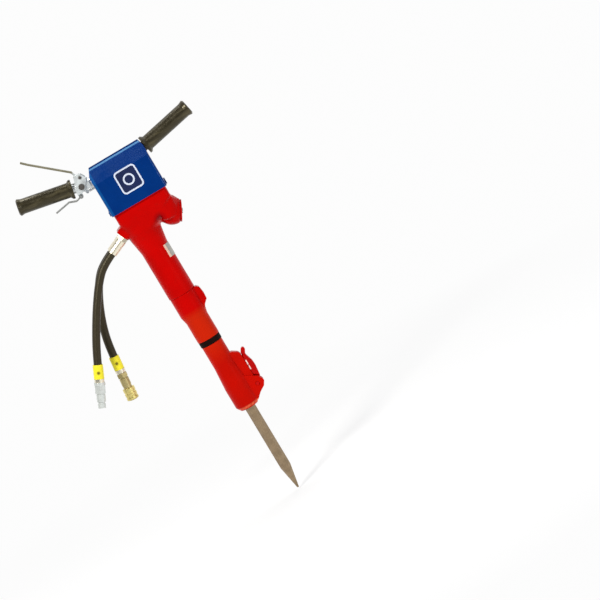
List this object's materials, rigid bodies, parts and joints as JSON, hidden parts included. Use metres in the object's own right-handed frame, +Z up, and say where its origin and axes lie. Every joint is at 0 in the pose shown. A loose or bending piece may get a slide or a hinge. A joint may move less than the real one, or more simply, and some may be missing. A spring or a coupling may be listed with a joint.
{
  "type": "hydraulic breaker hammer",
  "caption": "Hand-held hydraulic breaker with a cross handlebar, squeeze trigger, side accumulator, two hoses with couplings and a hex moil point chisel.",
  "frame": {"origin": "middle of the handlebar, on the tool axis, where the breaker is held up", "axes": "+Z up the tool axis away from the chisel, -Y to the front with the badge, +X along the handlebar to the accumulator side"},
  "size_m": [0.5314, 0.1136, 0.9735],
  "materials": {
    "red_paint": "gloss",
    "blue_paint": "gloss",
    "badge_enamel": "gloss",
    "grip_rubber": "satin",
    "black_rubber": "matte",
    "hose_rubber": "matte",
    "tag_plastic": "satin",
    "bar_steel": "satin",
    "cast_aluminium": "satin",
    "zinc_steel": "satin",
    "dark_steel": "satin",
    "bronze": "satin",
    "coupler_brass": "satin",
    "forged_steel": "satin"
  },
  "bodies": {
    "breaker": {"body_casting": "red_paint", "lower_housing": "red_paint", "nose": "red_paint", "latch_pin": "red_paint", "cover": "blue_paint", "badge": "badge_enamel", "left_grip": "grip_rubber", "right_grip": "grip_rubber", "rubber_ring": "black_rubber", "accumulator_diaphragm": "black_rubber", "piston_seals": "black_rubber", "hose_a": "hose_rubber", "hose_b": "hose_rubber", "hose_a_tag": "tag_plastic", "hose_b_tag": "tag_plastic", "handlebar": "bar_steel", "trigger_bracket": "cast_aluminium", "rating_plate": "cast_aluminium", "trigger_pivots": "zinc_steel", "lock_pin": "zinc_steel", "cover_screws": "zinc_steel", "yoke_bolts": "zinc_steel", "gas_plug": "zinc_steel", "lock_plug": "zinc_steel", "port_adapters": "zinc_steel", "port_ferrules": "zinc_steel", "nipple": "zinc_steel", "handle_yoke": "dark_steel", "start_valve_block": "dark_steel", "start_valve_plug": "dark_steel", "accumulator_cap": "dark_steel", "cylinder_liner": "dark_steel", "valve_cartridge": "dark_steel", "shank_bushing": "dark_steel", "piston_guide": "bronze", "nipple_ferrule": "coupler_brass", "coupler_ferrule": "coupler_brass", "coupler_body": "coupler_brass"},
    "piston_body": {"piston": "dark_steel"},
    "valve": {"distributor_valve": "dark_steel"},
    "chisel_body": {"chisel": "forged_steel"},
    "latch": {"tool_latch": "red_paint"},
    "trigger": {"trigger_lever": "zinc_steel"},
    "lock": {"lock_lever": "zinc_steel"},
    "spool": {"start_valve_spool": "dark_steel"},
    "sleeve": {"coupler_sleeve": "coupler_brass"},
    "nipple_valve": {"nipple_poppet": "zinc_steel"},
    "coupler_valve": {"coupler_poppet": "zinc_steel"}
  },
  "joints": [
    {"name": "piston_stroke", "type": "slide", "parent": "breaker", "child": "piston_body", "axis": [0, 0, 1], "range_m": [0, 0.03]},
    {"name": "valve_shift", "type": "slide", "parent": "breaker", "child": "valve", "axis": [0, 0, 1], "range_m": [0, 0.005]},
    {"name": "chisel_slide", "type": "slide", "parent": "breaker", "child": "chisel_body", "axis": [0, 0, 1], "range_m": [0, 0.022]},
    {"name": "latch_swing", "type": "hinge", "parent": "breaker", "child": "latch", "pos_m": [0.0426, 0, -0.581], "axis": [0, 1, 0], "range_deg": [0, 80]},
    {"name": "trigger_squeeze", "type": "hinge", "parent": "breaker", "child": "trigger", "pos_m": [-0.071, 0, 0.0135], "axis": [0, -1, 0], "range_deg": [0, 22], "stiffness_Nm_per_rad": 3, "springref_deg": -11.46},
    {"name": "lock_squeeze", "type": "hinge", "parent": "breaker", "child": "lock", "pos_m": [-0.083, 0, -0.006], "axis": [0, 1, 0], "range_deg": [0, 6], "stiffness_Nm_per_rad": 0.4, "springref_deg": -11.46},
    {"name": "spool_slide", "type": "slide", "parent": "breaker", "child": "spool", "axis": [1, 0, 0], "range_m": [0, 0.0066]},
    {"name": "sleeve_slide", "type": "slide", "parent": "breaker", "child": "sleeve", "axis": [0.1066, -0.0209, 0.9941], "range_m": [0, 0.006], "stiffness_N_per_m": 1000, "springref_m": -0.002},
    {"name": "nipple_valve_slide", "type": "slide", "parent": "breaker", "child": "nipple_valve", "axis": [0.4227, 0.0184, 0.9061], "range_m": [0, 0.005], "stiffness_N_per_m": 800, "springref_m": -0.001},
    {"name": "coupler_valve_slide", "type": "slide", "parent": "breaker", "child": "coupler_valve", "axis": [0.1066, -0.0209, 0.9941], "range_m": [0, 0.005], "stiffness_N_per_m": 800, "springref_m": -0.001}
  ],
  "couplings": [
    {"joint": "spool_slide", "follows": "trigger_squeeze", "m_per_rad": 0.0169}
  ]
}
